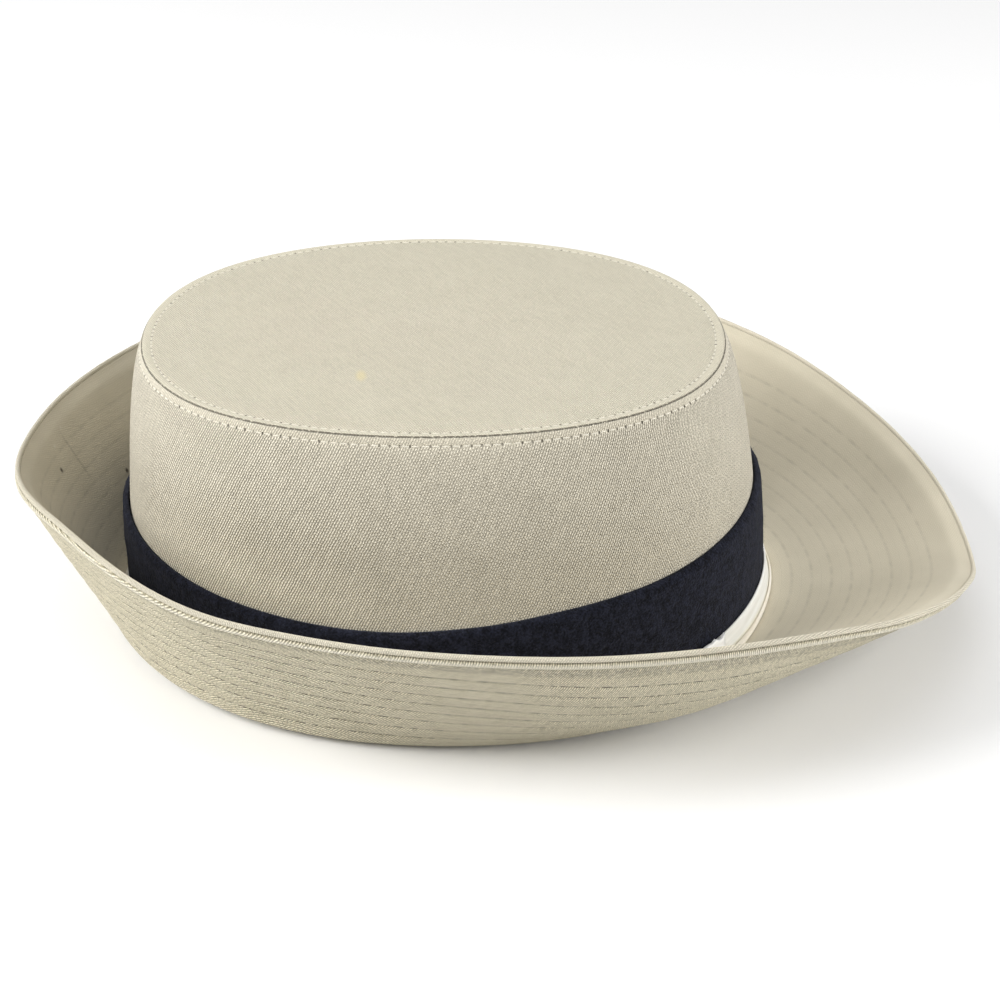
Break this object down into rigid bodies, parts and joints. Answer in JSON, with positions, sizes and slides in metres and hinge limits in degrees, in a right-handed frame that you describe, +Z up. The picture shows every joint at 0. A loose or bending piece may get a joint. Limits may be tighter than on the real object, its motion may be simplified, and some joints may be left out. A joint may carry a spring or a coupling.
{
  "type": "uniform hat",
  "caption": "Women's uniform hat: flat-topped oval cloth crown, dark wool band, satin tape and a stitched brim turned up at the sides and back.",
  "frame": {"origin": "middle of the hat's box in length and width, on the surface that the foot of the brim rests on", "axes": "+X to the front of the hat, +Y to the wearer's left, +Z up"},
  "size_m": [0.3076, 0.278, 0.0979],
  "materials": {
    "khaki_twill": "matt cotton twill with rows of stitching",
    "navy_wool": "matt milled wool with a short nap",
    "cream_satin": "soft satin tape",
    "white_satin": "soft satin tape"
  },
  "bodies": {
    "root": {"crown_top": "khaki_twill", "crown_wall": "khaki_twill", "hat_band": "navy_wool", "brim_upper": "khaki_twill", "brim_under": "khaki_twill", "tape_inner": "cream_satin", "tape_outer": "cream_satin", "tape_keeper": "white_satin"}
  },
  "joints": []
}
